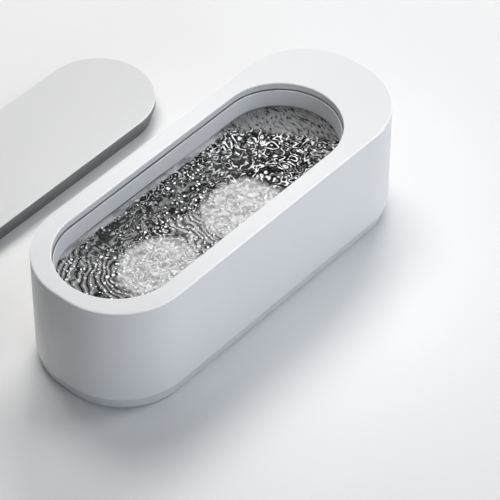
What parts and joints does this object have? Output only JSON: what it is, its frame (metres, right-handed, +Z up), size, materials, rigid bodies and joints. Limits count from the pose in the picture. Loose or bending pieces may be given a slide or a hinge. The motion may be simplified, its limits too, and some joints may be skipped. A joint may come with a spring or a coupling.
{
  "type": "ultrasonic cleaner",
  "caption": "Portable ultrasonic bath: stadium-shaped white housing, steel tank, drop-in lid parked beside it, push button and charging socket on the end.",
  "frame": {"origin": "centre of the housing's footprint, on the table plane (underside of the foot ring)", "axes": "+X along the length towards the control end, +Y towards the parked lid, +Z up"},
  "size_m": [0.205, 0.1866, 0.063],
  "materials": {
    "white_shell": "satin",
    "grey_inner": "satin",
    "base_plastic": "matte",
    "lid_white": "satin",
    "lid_dark": "matte",
    "tank_steel": "polished",
    "screw_steel": "zinc plated",
    "nickel": "nickel plated",
    "seal_rubber": "matte",
    "foot_rubber": "matte",
    "retainer_plastic": "matte",
    "piezo_ceramic": "silvered faces",
    "wire_red": "satin",
    "wire_white": "satin",
    "board_green": "solder mask",
    "ferrite": "matte",
    "winding": "enamelled copper",
    "capacitor_sleeve": "gloss",
    "film_cap": "gloss",
    "chip_black": "matte",
    "heat_sink_al": "extruded",
    "connector_white": "satin",
    "button_white": "satin",
    "light_guide": "translucent",
    "lamp": "clear",
    "socket_black": "satin"
  },
  "bodies": {
    "housing": {"outer_housing": "white_shell", "inner_collar": "grey_inner", "collar_magnets": "nickel", "tank": "tank_steel", "tank_seal": "seal_rubber", "tank_retainer": "retainer_plastic", "retainer_screws": "screw_steel", "bottom_cover": "base_plastic", "foot_ring": "foot_rubber", "cover_screws": "screw_steel", "piezo_disc": "piezo_ceramic", "transducer_leads": "wire_red", "driver_board": "board_green", "driver_board_screws": "screw_steel", "transformer_core": "ferrite", "transformer_winding": "winding", "electrolytic_capacitors": "capacitor_sleeve", "film_capacitors": "film_cap", "tuning_inductor": "ferrite", "power_transistors": "chip_black", "heat_sink": "heat_sink_al", "controller_chips": "chip_black", "lead_connector": "connector_white", "control_board": "board_green", "control_board_screws": "screw_steel", "tact_switch": "chip_black", "light_ring": "light_guide", "indicator_lamps": "lamp", "socket_shell": "nickel", "socket_tongue": "socket_black", "cable_connectors": "connector_white", "board_cable": "wire_white"},
    "lid_carrier": {"lid_magnets": "nickel"},
    "lid": {"lid_plug": "lid_dark", "lid_cover": "lid_white"},
    "button": {"button_cap": "button_white", "switch_plunger": "connector_white"}
  },
  "joints": [
    {"name": "lid_carry", "type": "hinge", "parent": "housing", "child": "lid_carrier", "pos_m": [0, 0.07086, 0.0555], "axis": [1, 0, 0], "range_deg": [0, 227.21]},
    {"name": "lid_level", "type": "hinge", "parent": "lid_carrier", "child": "lid", "pos_m": [0, 0.119, 0.0035], "axis": [1, 0, 0], "range_deg": [-227.21, 0]},
    {"name": "button_press", "type": "slide", "parent": "housing", "child": "button", "axis": [-1, 0, 0], "range_m": [0, 0.0005], "stiffness_N_per_m": 3000, "springref_m": -0.0001}
  ],
  "couplings": [
    {"joint": "lid_level", "follows": "lid_carry", "ratio": -1}
  ]
}
